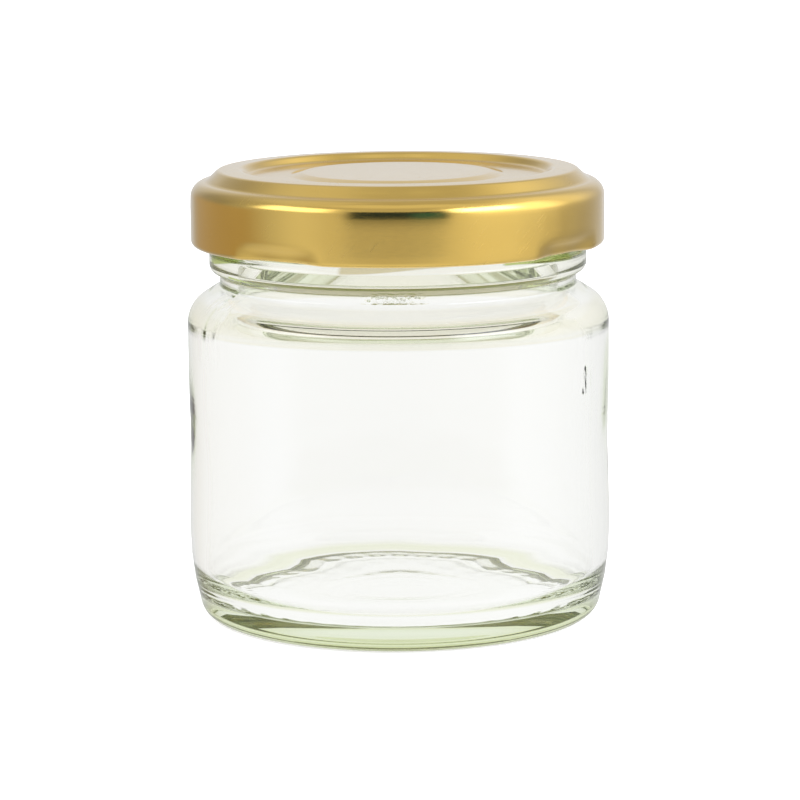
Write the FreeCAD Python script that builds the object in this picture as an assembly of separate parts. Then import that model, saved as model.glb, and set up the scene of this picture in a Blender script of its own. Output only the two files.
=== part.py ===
"""Small round glass jar, closed with a twist-off metal lid.

Millimetres, +Z up. The origin is the centre of the ring that the jar stands on.
Three pieces are written to parts/: the glass jar, the lid, and the sealing ring
that the lid carries in its channel and presses on the jar's rim.
"""
import FreeCAD, Part
import math
import os

from FreeCAD import Vector

# ---------------------------------------------------------------- driving sizes
# Glass body
BODY_RADIUS = 28.8            # widest, just above the heel
LABEL_RADIUS = 28.48          # slightly sunk panel where a label would go
UPPER_RADIUS = 28.68          # band between the panel and the shoulder
LABEL_LOW_Z = 14.5            # where the wall starts to lean in to the panel
LABEL_MID_Z = 25.5            # the deepest level of the panel
LABEL_HIGH_Z = 30.5           # where it is back at the upper band
SHOULDER_CORNER_Z = 42.77     # where wall and shoulder slope would meet
SHOULDER_RADIUS = 4.38
WALL = 2.45                   # glass thickness of the wall
LABEL_EDGE_ROUND = 100.0      # soft turn at both ends of the panel
LABEL_MID_ROUND = 60.0

# Foot of the jar
HEEL_RADIUS = 2.33            # small round next to the ring it stands on
HEEL_LEAN = 15.0              # degrees, the wall's lean just above that round
HEEL_CORNER_Z = 6.83          # where that leaning line would meet the upright wall
HEEL_SWEEP_RADIUS = 38.5      # long curve from the lean to the upright wall
PUNT_HEIGHT = 1.2             # rise of the underside's middle
PUNT_FLAT_RADIUS = 10.0       # where the underside starts to fall to the bars
PUNT_ROUND = 60.0
KNURL_DEPTH = 0.3             # height of the bars moulded under the base
KNURL_INNER = 20.7
KNURL_OUTER = 23.5
KNURL_BARS = 40
KNURL_BAR_WIDTH = 1.5
KNURL_TIP_SHARE = 0.6         # width of a bar's lower face, of its root
KNURL_FOOT_ROUND = 1.0        # between the sunk ring and the underside
FLOOR_EDGE_Z = 2.9            # inner floor, next to the inner heel
FLOOR_CENTRE_Z = 3.8
FLOOR_FLAT_RADIUS = 9.0       # flat middle of the inner floor
FLOOR_ROUND = 60.0
INNER_HEEL_RADIUS = 7.5

# Neck and finish
NECK_RADIUS = 24.21
NECK_LOW_Z = 45.54            # top of the shoulder slope
NECK_LOW_ROUND = 0.35
NECK_HIGH_ROUND = 0.3
BEAD_LOW_Z = 46.8
BEAD_RADIUS = 25.62
BEAD_HIGH_Z = 50.6
BEAD_LOW_RISE = 0.9           # slope of the bead's underside
BEAD_LOW_ROUND = 1.2
BEAD_TOP_FALL = 0.6           # slope of the bead's upper side
BEAD_TOP_ROUND = 1.0
FINISH_FOOT_ROUND = 0.3
FINISH_RADIUS = 25.0          # wall that carries the threads
RIM_Z = 60.2                  # top of the glass
RIM_OUTER_ROUND = 1.1
RIM_INNER_ROUND = 0.8
BORE_RADIUS = 21.8
BORE_END_Z = 43.9             # where bore and inner shoulder slope would meet
BORE_END_ROUND = 3.0
INNER_SHOULDER_Z = 40.6       # where that slope and the inner wall would meet
INNER_SHOULDER_ROUND = 3.5

# Four thread starts on the finish, one for each lug of the lid
LUGS = 4
LUG_AZIMUTH = -35.3           # degrees from +X, centre of the first lug
THREAD_RADIUS = 26.2
THREAD_SPAN = 62.0            # degrees from the low end to the start under the rim
THREAD_OVERRUN = 14.0         # degrees that the low end runs on past the lug's centre
THREAD_RISE = 2.6
THREAD_HEIGHT = 2.0           # width of the thread along the axis, at its root
THREAD_NOSE = 0.1             # how far the thread's round nose bulges
THREAD_STEEPNESS = 2.2        # how quickly a thread grows to its full depth
THREAD_ROOT = 0.02            # depth that is left at a thread's very ends
THREAD_SECTIONS = 11

# Lid
PLATE = 0.25                  # tinplate with its lacquer
LID_RADIUS = 28.05
LID_TOP_Z = 61.45             # crest of the raised ring
PANEL_DROP = 1.3              # panel below the crest
BUTTON_RADIUS = 13.6          # raised middle of the panel
BUTTON_RISE = 0.5
BUTTON_SLOPE = 1.2            # width of the button's sloping edge
BUTTON_ROUND = 1.2
RING_FOOT = 19.9              # inner foot of the raised ring
RING_FOOT_ROUND = 0.8
RING_INNER = 21.1             # top of the ring's inner slope
RING_INNER_ROUND = 1.0
RING_OUTER = 23.54            # where the crest and the ring's outer slope would meet
RING_OUTER_ROUND = 4.05
COVE_RADIUS = 25.9            # foot of the outer slope, in the cove round the ring
COVE_Z = 59.56
COVE_ROUND = 1.2
LID_SHOULDER_Z = 59.24        # where the shoulder and the skirt would meet
LID_SHOULDER_ROUND = 2.1
CURL_RADIUS = 0.8             # rolled edge of the skirt
CURL_TURN = 290.0             # degrees that the edge is rolled through
LID_BOTTOM_Z = 50.85
SKIRT_SPLIT_Z = 53.4          # above it the skirt is plain, below it holds the lugs
LUG_WIDTH = 31.0              # degrees
LUG_PRESS = 1.0               # how far the edge is pressed in at a lug
LUG_LIFT = 0.12               # how far that raises the edge
LUG_CLEARANCE = 0.05          # between a lug and the thread that it hooks under
LUG_BEND = 0.3                # share of the skirt's height that stays upright at each end
LUG_SECTIONS = 11

# Sealing ring
SEAL_INNER = 21.3
SEAL_OUTER = 24.55            # just past the end of the round under the crest
SEAL_INNER_ROUND = 0.6
SEAL_LIP = 0.2                # bevel of the ring's inner lower corner

JOIN = 0.3                    # how deep added glass is rooted in the wall
FUSE_TOLERANCE = 1e-4         # closes the hair gaps between turned and lofted faces


# ---------------------------------------------------------------- outlines
def rounded_edges(corners):
    """Edges of an open outline through (r, z, radius) corners, each rounded by its radius."""
    points = [Vector(r, 0, z) for r, z, _ in corners]
    edges = []
    start = points[0]
    for before, corner, after, spec in zip(points, points[1:], points[2:], corners[1:]):
        into = (before - corner).normalize()
        out = (after - corner).normalize()
        half = into.getAngle(out) / 2
        if spec[2] == 0:
            edges.append(Part.makeLine(start, corner))
            start = corner
            continue
        reach = spec[2] / math.tan(half)
        first = corner + into * reach
        last = corner + out * reach
        middle = (into + out).normalize()
        apex = corner + middle * (spec[2] / math.sin(half) - spec[2])
        edges.append(Part.makeLine(start, first))
        edges.append(Part.Arc(first, apex, last).toShape())
        start = last
    edges.append(Part.makeLine(start, points[-1]))
    return edges


def thickened(corners, thickness):
    """The corners of an outline moved to its right by a thickness, with radii to match."""
    moved = []
    count = len(corners)
    for i, (r, z, radius) in enumerate(corners):
        before = corners[max(i - 1, 0)]
        after = corners[min(i + 1, count - 1)]
        normals = []
        for (r0, z0, _), (r1, z1, _) in ((before, (r, z, 0)), ((r, z, 0), after)):
            length = math.hypot(r1 - r0, z1 - z0)
            if length:
                normals.append(((z1 - z0) / length, -(r1 - r0) / length))
        n0, n1 = normals[0], normals[-1]
        share = thickness / (1 + n0[0] * n1[0] + n0[1] * n1[1])
        turn = n0[0] * n1[1] - n0[1] * n1[0]
        change = 0 if radius == 0 else math.copysign(thickness, turn)
        moved.append((r + share * (n0[0] + n1[0]), z + share * (n0[1] + n1[1]), radius + change))
    return moved


def turned(corners):
    """Solid of revolution whose half section is the closed outline through the corners."""
    edges = rounded_edges(corners)
    edges.append(Part.makeLine(edges[-1].Vertexes[-1].Point, edges[0].Vertexes[0].Point))
    face = Part.Face(Part.Wire(Part.__sortEdges__(edges)))
    return face.revolve(Vector(0, 0, 0), Vector(0, 0, 1), 360)


def ring_positions(count, first):
    """Azimuths in degrees of a number of equal places round the axis."""
    return [first + 360.0 * i / count for i in range(count)]


def about_axis(shape, azimuth):
    """A copy of a shape turned about the jar's axis."""
    copy = shape.copy()
    copy.rotate(Vector(0, 0, 0), Vector(0, 0, 1), azimuth)
    return copy


# ---------------------------------------------------------------- glass jar
def jar_corners():
    """Half section of the glass: underside, outside, rim, inside and floor."""
    foot_radius = BODY_RADIUS - HEEL_CORNER_Z * math.tan(math.radians(HEEL_LEAN))
    inner = [radius - WALL for radius in (UPPER_RADIUS, LABEL_RADIUS, BODY_RADIUS)]
    underside = [
        (0, PUNT_HEIGHT, 0),
        (PUNT_FLAT_RADIUS, PUNT_HEIGHT, PUNT_ROUND),
        (KNURL_INNER, KNURL_DEPTH, KNURL_FOOT_ROUND),
        (KNURL_OUTER, KNURL_DEPTH, 0),
        (KNURL_OUTER + KNURL_DEPTH, 0, 0),
    ]
    outside = [
        (foot_radius, 0, HEEL_RADIUS),
        (BODY_RADIUS, HEEL_CORNER_Z, HEEL_SWEEP_RADIUS),
        (BODY_RADIUS, LABEL_LOW_Z, LABEL_EDGE_ROUND),
        (LABEL_RADIUS, LABEL_MID_Z, LABEL_MID_ROUND),
        (UPPER_RADIUS, LABEL_HIGH_Z, LABEL_EDGE_ROUND),
        (UPPER_RADIUS, SHOULDER_CORNER_Z, SHOULDER_RADIUS),
        (NECK_RADIUS, NECK_LOW_Z, NECK_LOW_ROUND),
        (NECK_RADIUS, BEAD_LOW_Z, NECK_HIGH_ROUND),
        (BEAD_RADIUS, BEAD_LOW_Z + BEAD_LOW_RISE, BEAD_LOW_ROUND),
        (BEAD_RADIUS, BEAD_HIGH_Z - BEAD_TOP_FALL, BEAD_TOP_ROUND),
        (FINISH_RADIUS, BEAD_HIGH_Z, FINISH_FOOT_ROUND),
        (FINISH_RADIUS, RIM_Z, RIM_OUTER_ROUND),
    ]
    inside = [
        (BORE_RADIUS, RIM_Z, RIM_INNER_ROUND),
        (BORE_RADIUS, BORE_END_Z, BORE_END_ROUND),
        (inner[0], INNER_SHOULDER_Z, INNER_SHOULDER_ROUND),
        (inner[0], LABEL_HIGH_Z, LABEL_EDGE_ROUND),
        (inner[1], LABEL_MID_Z, LABEL_MID_ROUND),
        (inner[2], LABEL_LOW_Z, LABEL_EDGE_ROUND),
        (inner[2], FLOOR_EDGE_Z, INNER_HEEL_RADIUS),
        (FLOOR_FLAT_RADIUS, FLOOR_CENTRE_Z, FLOOR_ROUND),
        (0, FLOOR_CENTRE_Z, 0),
    ]
    return underside + outside + inside


def thread_section(azimuth, height, proud):
    """Half-round section of a thread at an azimuth, standing proud of the finish wall."""
    root = FINISH_RADIUS - JOIN
    low = Vector(root, 0, height - THREAD_HEIGHT / 2)
    high = Vector(root, 0, height + THREAD_HEIGHT / 2)
    crest = THREAD_HEIGHT / 4
    outer = FINISH_RADIUS + proud
    nose_low = Vector(outer - THREAD_NOSE, 0, height - crest)
    nose = Vector(outer, 0, height)
    nose_high = Vector(outer - THREAD_NOSE, 0, height + crest)
    edges = [
        Part.makeLine(low, nose_low),
        Part.Arc(nose_low, nose, nose_high).toShape(),
        Part.makeLine(nose_high, high),
        Part.makeLine(high, low),
    ]
    return about_axis(Part.Wire(edges), azimuth)


def thread(azimuth):
    """One thread start: it descends clockwise and fades into the wall at both ends."""
    depth = THREAD_RADIUS - FINISH_RADIUS
    low_z = lug_top_z() + THREAD_HEIGHT / 2
    sections = []
    for i in range(THREAD_SECTIONS):
        along = i / (THREAD_SECTIONS - 1)
        proud = depth * min(1.0, math.sin(math.pi * along) * THREAD_STEEPNESS) + THREAD_ROOT
        turn = azimuth - THREAD_OVERRUN + THREAD_SPAN * along
        past_lug = max(0.0, turn - azimuth) / (THREAD_SPAN - THREAD_OVERRUN)
        sections.append(thread_section(turn, low_z + THREAD_RISE * past_lug, proud))
    return Part.makeLoft(sections, True, False)


def knurl_bar(azimuth):
    """One of the radial bars under the base, with sloping flanks."""
    half = KNURL_BAR_WIDTH / 2
    tip = half * KNURL_TIP_SHARE
    top = KNURL_DEPTH + JOIN
    outline = [(-half, top), (half, top), (half, KNURL_DEPTH), (tip, 0), (-tip, 0), (-half, KNURL_DEPTH)]
    points = [Vector(KNURL_INNER + JOIN, y, z) for y, z in outline]
    face = Part.Face(Part.makePolygon(points + points[:1]))
    return about_axis(face.extrude(Vector(KNURL_OUTER - KNURL_INNER, 0, 0)), azimuth)


def make_jar():
    """The glass: turned body with its threads and the bars under its base."""
    body = turned(jar_corners())
    threads = [thread(azimuth) for azimuth in ring_positions(LUGS, LUG_AZIMUTH)]
    bars = [knurl_bar(azimuth) for azimuth in ring_positions(KNURL_BARS, 0.0)]
    return body.fuse(threads + bars)


# ---------------------------------------------------------------- lid
def lug_top_z():
    """Level of a lug's upper side, which bears on the underside of a thread."""
    return LID_BOTTOM_Z + 2 * CURL_RADIUS + LUG_LIFT + LUG_CLEARANCE


def lid_top_corners():
    """Outer side of the lid's plate, from its centre to the plain part of the skirt."""
    panel = LID_TOP_Z - PANEL_DROP
    button = panel + BUTTON_RISE
    return [
        (0, button, 0),
        (BUTTON_RADIUS - BUTTON_SLOPE / 2, button, BUTTON_ROUND),
        (BUTTON_RADIUS + BUTTON_SLOPE / 2, panel, BUTTON_ROUND),
        (RING_FOOT, panel, RING_FOOT_ROUND),
        (RING_INNER, LID_TOP_Z, RING_INNER_ROUND),
        (RING_OUTER, LID_TOP_Z, RING_OUTER_ROUND),
        (COVE_RADIUS, COVE_Z, COVE_ROUND),
        (LID_RADIUS, LID_SHOULDER_Z, LID_SHOULDER_ROUND),
        (LID_RADIUS, SKIRT_SPLIT_Z, 0),
    ]


def lid_top():
    """Panel, button, raised ring, step and upper skirt, turned from one plate."""
    outer = lid_top_corners()
    inner = thickened(outer, PLATE)
    outer_edges = rounded_edges(outer)
    inner_edges = rounded_edges(inner)
    closing = [
        Part.makeLine(Vector(*_on_section(outer[0])), Vector(*_on_section(inner[0]))),
        Part.makeLine(Vector(*_on_section(outer[-1])), Vector(*_on_section(inner[-1]))),
    ]
    edges = Part.__sortEdges__(outer_edges + inner_edges + closing)
    return Part.Face(Part.Wire(edges)).revolve(Vector(0, 0, 0), Vector(0, 0, 1), 360)


def _on_section(corner):
    """A corner's place in the half section plane."""
    return (corner[0], 0, corner[1])


def flank(radius, press, lift):
    """The skirt's line at a radius, from the split down to the curl, leaning in by the press."""
    top = Vector(radius, 0, SKIRT_SPLIT_Z)
    foot = Vector(radius - press, 0, LID_BOTTOM_Z + CURL_RADIUS + lift)
    span = SKIRT_SPLIT_Z - LID_BOTTOM_Z - CURL_RADIUS
    curve = Part.BezierCurve()
    curve.setPoles([top, top - Vector(0, 0, span * LUG_BEND), foot + Vector(0, 0, span * LUG_BEND), foot])
    return curve.toShape()


def edge_section(press, lift):
    """Closed section of the lower skirt and its rolled edge."""
    centre = Vector(LID_RADIUS - CURL_RADIUS - press, 0, LID_BOTTOM_Z + CURL_RADIUS + lift)

    def on_curl(radius, degrees):
        angle = math.radians(-degrees)
        return centre + Vector(radius * math.cos(angle), 0, radius * math.sin(angle))

    inner_curl = CURL_RADIUS - PLATE
    outer_flank = flank(LID_RADIUS, press, lift)
    inner_flank = flank(LID_RADIUS - PLATE, press, lift)
    outer_arc = Part.Arc(on_curl(CURL_RADIUS, 0), on_curl(CURL_RADIUS, CURL_TURN / 2),
                         on_curl(CURL_RADIUS, CURL_TURN)).toShape()
    inner_arc = Part.Arc(on_curl(inner_curl, 0), on_curl(inner_curl, CURL_TURN / 2),
                         on_curl(inner_curl, CURL_TURN)).toShape()
    edges = [
        outer_flank,
        outer_arc,
        Part.makeLine(on_curl(CURL_RADIUS, CURL_TURN), on_curl(inner_curl, CURL_TURN)),
        inner_arc,
        inner_flank,
        Part.makeLine(Vector(LID_RADIUS - PLATE, 0, SKIRT_SPLIT_Z), Vector(LID_RADIUS, 0, SKIRT_SPLIT_Z)),
    ]
    return Part.Wire(Part.__sortEdges__(edges))


def lug(azimuth):
    """Lower skirt and rolled edge over one lug, pressed in most at the lug's centre."""
    sections = []
    for i in range(LUG_SECTIONS):
        across = i / (LUG_SECTIONS - 1)
        rise = math.sin(math.pi * across)
        share = rise * rise * (3 - 2 * rise)
        section = edge_section(LUG_PRESS * share, LUG_LIFT * share)
        sections.append(about_axis(section, azimuth + LUG_WIDTH * (across - 0.5)))
    return Part.makeLoft(sections, True, False)


def plain_edge(azimuth):
    """Lower skirt and rolled edge between one lug and the next."""
    sweep = 360.0 / LUGS - LUG_WIDTH
    section = about_axis(edge_section(0, 0), azimuth + LUG_WIDTH / 2)
    return Part.Face(section).revolve(Vector(0, 0, 0), Vector(0, 0, 1), sweep)


def make_lid():
    """The lid: one shell of plate with a rolled edge that is pressed in at its lugs."""
    azimuths = ring_positions(LUGS, LUG_AZIMUTH)
    lugs = [lug(azimuth) for azimuth in azimuths]
    edges = [plain_edge(azimuth) for azimuth in azimuths]
    return lid_top().fuse(lugs + edges, FUSE_TOLERANCE)


# ---------------------------------------------------------------- sealing ring
def make_seal():
    """Ring of sealing compound that fills the channel between the plate and the rim."""
    crest, cove = thickened(lid_top_corners(), PLATE)[5:7]
    fall = (crest[1] - cove[1]) / (cove[0] - crest[0])
    outer_top = crest[1] - fall * (SEAL_OUTER - crest[0])
    return turned([
        (SEAL_INNER, RIM_Z, 0),
        (SEAL_OUTER, RIM_Z, 0),
        (SEAL_OUTER, outer_top, 0),
        crest,
        (SEAL_INNER, crest[1], SEAL_INNER_ROUND),
        (SEAL_INNER, RIM_Z + SEAL_LIP, 0),
    ])


# ---------------------------------------------------------------- output
def save(shape, node):
    """Write one piece as a single solid to parts/NODE.step."""
    clean = shape.removeSplitter()
    solid = clean.Solids[0]
    box = solid.optimalBoundingBox(False)
    print(f"{node}: {len(clean.Solids)} solid, valid {solid.isValid()}, {solid.Volume:.1f} mm3, "
          f"{len(solid.Faces)} faces, z {box.ZMin:.2f} to {box.ZMax:.2f}, width {box.XLength:.2f}")
    solid.exportStep(f"parts/{node}.step")


def main():
    """Make and save the three pieces."""
    os.makedirs("parts", exist_ok=True)
    save(make_jar(), "jar")
    save(make_lid(), "lid")
    save(make_seal(), "seal")


main()
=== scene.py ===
"""Small round glass jar under a gold twist-off lid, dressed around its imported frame.

The glass, the lid and the sealing ring are computed again as fine turned surfaces, so
that the light bends through smooth walls. Every size is in millimetres in the classes
below and becomes metres where a mesh is written or a node is fed. The front is -Y.
"""
from __future__ import annotations

import logging
import math
from dataclasses import dataclass, field
from enum import Enum

import bpy
import numpy as np
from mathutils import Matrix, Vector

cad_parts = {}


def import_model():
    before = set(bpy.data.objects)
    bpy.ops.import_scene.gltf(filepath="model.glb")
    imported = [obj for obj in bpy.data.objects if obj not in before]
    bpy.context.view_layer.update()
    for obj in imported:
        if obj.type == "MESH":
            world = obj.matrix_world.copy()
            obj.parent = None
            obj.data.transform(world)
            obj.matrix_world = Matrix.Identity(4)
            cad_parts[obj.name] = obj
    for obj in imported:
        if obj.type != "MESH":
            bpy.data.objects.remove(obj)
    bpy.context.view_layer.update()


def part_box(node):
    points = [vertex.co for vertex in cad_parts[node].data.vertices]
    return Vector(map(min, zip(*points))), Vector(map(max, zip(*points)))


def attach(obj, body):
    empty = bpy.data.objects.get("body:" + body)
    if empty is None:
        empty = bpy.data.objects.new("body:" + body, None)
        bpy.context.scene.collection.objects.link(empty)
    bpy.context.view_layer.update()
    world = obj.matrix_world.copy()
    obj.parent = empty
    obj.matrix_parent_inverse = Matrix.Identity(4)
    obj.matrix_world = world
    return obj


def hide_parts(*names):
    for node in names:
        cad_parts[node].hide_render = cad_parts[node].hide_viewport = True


log = logging.getLogger("jar")

MM = 0.001
TINY = 1e-6  # millimetres below which two points are one
ROOT = "root"
Pair = tuple[float, float]
Triple = tuple[float, float, float]
Corner = Triple
Colour = Triple
Socket = bpy.types.NodeSocket
WHITE: Colour = (1.0, 1.0, 1.0)
# Places of the colour sockets on Blender's Mix node, where several share a name.
MIX_FIRST, MIX_SECOND, MIX_RESULT = 6, 7, 2


class Ends(Enum):
    """How a turned surface closes along its profile."""

    POLES = "both ends lie on the axis"
    LOOP = "the last row joins the first"


# ------------------------------------------------------------------ turned surfaces
@dataclass(frozen=True)
class Outline:
    """An outline in the half section plane, through corners that are each rounded.

    Attributes:
        corners: (r, z, radius) of each corner in millimetres.
        arc_step: largest turn between two points of a round, in degrees.
        line_step: largest gap between two points of a straight, in millimetres.
    """

    corners: tuple[Corner, ...]
    arc_step: float
    line_step: float

    def points(self) -> np.ndarray:
        """The outline as points: straights between rounds that touch both their neighbours.

        A round of radius R in a corner whose legs meet at the angle 2h starts R / tan h
        before the corner, and its centre lies R / sin h from it on the bisector.

        Returns:
            An (n, 2) array of r and z in millimetres.
        """
        place = np.array([corner[:2] for corner in self.corners])
        pieces = [place[:1]]
        for before, corner, after, spec in zip(place, place[1:], place[2:], self.corners[1:]):
            into = (before - corner) / np.linalg.norm(before - corner)
            out = (after - corner) / np.linalg.norm(after - corner)
            half = 0.5 * math.acos(float(np.clip(into @ out, -1.0, 1.0)))
            radius = spec[2]
            if radius <= 0.0:
                pieces.append(corner[None])
                continue
            first = corner + into * radius / math.tan(half)
            last = corner + out * radius / math.tan(half)
            centre = corner + (into + out) / np.linalg.norm(into + out) * radius / math.sin(half)
            start = math.atan2(*(first - centre)[::-1])
            sweep = (math.atan2(*(last - centre)[::-1]) - start + math.pi) % (2 * math.pi) - math.pi
            count = max(2, math.ceil(abs(math.degrees(sweep)) / self.arc_step) + 1)
            angle = start + sweep * np.linspace(0.0, 1.0, count)
            pieces.append(centre + radius * np.stack([np.cos(angle), np.sin(angle)], axis=1))
        pieces.append(place[-1:])
        return self._filled(np.concatenate(pieces))

    def _filled(self, rough: np.ndarray) -> np.ndarray:
        """Split every gap that is longer than the line step into equal parts.

        Args:
            rough: (n, 2) points.

        Returns:
            The same points with the extra ones between them.
        """
        gap = np.linalg.norm(np.diff(rough, axis=0), axis=1)
        rough = rough[np.concatenate([[True], gap > TINY])]
        gap = gap[gap > TINY]
        parts = np.maximum(1, np.ceil(gap / self.line_step)).astype(int)
        knots = np.concatenate([[0], np.cumsum(parts)])
        every = np.arange(knots[-1] + 1)
        return np.stack([np.interp(every, knots, rough[:, axis]) for axis in (0, 1)], axis=1)


def thickened(corners: tuple[Corner, ...], thickness: float) -> tuple[Corner, ...]:
    """Move an outline to its right by a thickness, with each round's radius to match.

    Each corner moves along the sum of its two legs' normals, divided by one plus their
    dot product, which keeps both legs parallel to where they were.

    Args:
        corners: (r, z, radius) of each corner.
        thickness: distance between the two outlines.

    Returns:
        The corners of the moved outline.
    """
    place = np.array([corner[:2] for corner in corners])
    leg = np.diff(place, axis=0)
    leg /= np.linalg.norm(leg, axis=1)[:, None]
    normal = np.stack([leg[:, 1], -leg[:, 0]], axis=1)
    before = np.concatenate([normal[:1], normal])
    after = np.concatenate([normal, normal[-1:]])
    share = thickness / (1.0 + np.sum(before * after, axis=1))
    moved = place + share[:, None] * (before + after)
    turn = before[:, 0] * after[:, 1] - before[:, 1] * after[:, 0]
    radius = np.array([corner[2] for corner in corners])
    radius = radius + np.where(radius > 0, np.sign(turn) * thickness, 0.0)
    return tuple((float(r), float(z), float(rad)) for (r, z), rad in zip(moved, radius))


def around(count: int) -> np.ndarray:
    """Azimuths in radians of a number of equal steps round the axis, from +X."""
    return np.arange(count) * (2.0 * math.pi / count)


def carried_round(profile: np.ndarray, columns: int) -> tuple[np.ndarray, np.ndarray, np.ndarray]:
    """Carry a profile round the axis as it is.

    Args:
        profile: (n, 2) array of r and z.
        columns: number of equal steps round the axis.

    Returns:
        (radius, height, azimuth): two (n, columns) arrays, and the azimuths in radians.
    """
    radius = np.repeat(profile[:, :1], columns, axis=1)
    height = np.repeat(profile[:, 1:], columns, axis=1)
    return radius, height, around(columns)


def off_centre(azimuth: np.ndarray, centre_deg: float, repeats: int) -> np.ndarray:
    """Degrees from each azimuth to the nearest of several equally spaced centres.

    Args:
        azimuth: azimuths in radians.
        centre_deg: azimuth of one centre, in degrees.
        repeats: number of centres in a full turn.

    Returns:
        Signed degrees, between minus and plus half the pitch.
    """
    pitch = 360.0 / repeats
    return (np.degrees(azimuth) - centre_deg + pitch / 2) % pitch - pitch / 2


def smooth_step(value: np.ndarray, low: float, high: float) -> np.ndarray:
    """Rise from 0 at low to 1 at high, level at both ends: 3t^2 - 2t^3."""
    share = np.clip((value - low) / (high - low), 0.0, 1.0)
    return share * share * (3.0 - 2.0 * share)


def quads_between(number: np.ndarray, following: np.ndarray) -> np.ndarray:
    """Four-sided faces between rows of vertices that each close round the axis.

    Args:
        number: (n, m) vertex numbers, m round the axis.
        following: (n, m) numbers of the row after each of them.

    Returns:
        (n m, 4) array of vertex numbers.
    """
    beside = np.roll(number, -1, axis=1)
    following_beside = np.roll(following, -1, axis=1)
    return np.stack([number, beside, following_beside, following], axis=-1).reshape(-1, 4)


def turned_mesh(name: str, radius: np.ndarray, height: np.ndarray, azimuth: np.ndarray,
                ends: Ends) -> bpy.types.Object:
    """Make a closed smooth mesh of a profile carried round the axis.

    A point is (r cos a, r sin a, z), where r and z may change with both the place along
    the profile and the azimuth a. The profile runs so that the solid lies on its left.

    Args:
        name: name of the object and its mesh.
        radius: (n, m) array of r in millimetres, n along the profile and m round the axis.
        height: (n, m) array of z in millimetres.
        azimuth: (m,) array in radians.
        ends: whether the first and last rows are poles or join each other.

    Returns:
        The new object, linked to the scene.
    """
    rows, columns = radius.shape
    grid = np.stack([radius * np.cos(azimuth), radius * np.sin(azimuth), height], axis=-1) * MM
    if ends is Ends.LOOP:
        number = np.arange(rows * columns).reshape(rows, columns)
        quads = quads_between(number, np.roll(number, -1, axis=0))
        return mesh_object(name, grid.reshape(-1, 3), quads, np.empty((0, 3), int))
    inner = grid[1:-1].reshape(-1, 3)
    first, last = len(inner), len(inner) + 1
    number = np.arange(len(inner)).reshape(rows - 2, columns)
    beside = np.roll(number, -1, axis=1)
    start = np.stack([np.full(columns, first), beside[0], number[0]], axis=1)
    stop = np.stack([np.full(columns, last), number[-1], beside[-1]], axis=1)
    points = np.concatenate([inner, grid[:1, 0], grid[-1:, 0]])
    return mesh_object(name, points, quads_between(number[:-1], number[1:]), np.concatenate([start, stop]))


def mesh_object(name: str, points: np.ndarray, quads: np.ndarray, fans: np.ndarray) -> bpy.types.Object:
    """Make an object of four-sided and three-sided faces, all shaded smooth.

    Args:
        name: name of the object and its mesh.
        points: (n, 3) array in metres.
        quads: (q, 4) array of vertex numbers.
        fans: (t, 3) array of vertex numbers.

    Returns:
        The new object, linked to the scene.
    """
    mesh = bpy.data.meshes.new(name)
    corners = np.concatenate([quads.ravel(), fans.ravel()]).astype(np.int32)
    sizes = np.concatenate([np.full(len(quads), 4), np.full(len(fans), 3)])
    starts = np.concatenate([[0], np.cumsum(sizes)[:-1]])
    mesh.vertices.add(len(points))
    mesh.vertices.foreach_set("co", points.ravel().astype(np.float32))
    mesh.loops.add(len(corners))
    mesh.loops.foreach_set("vertex_index", corners)
    mesh.polygons.add(len(sizes))
    mesh.polygons.foreach_set("loop_start", starts.astype(np.int32))
    mesh.polygons.foreach_set("use_smooth", np.ones(len(sizes), bool))
    mesh.update(calc_edges=True)
    mesh.validate()
    piece = bpy.data.objects.new(name, mesh)
    bpy.context.scene.collection.objects.link(piece)
    return piece


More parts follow.
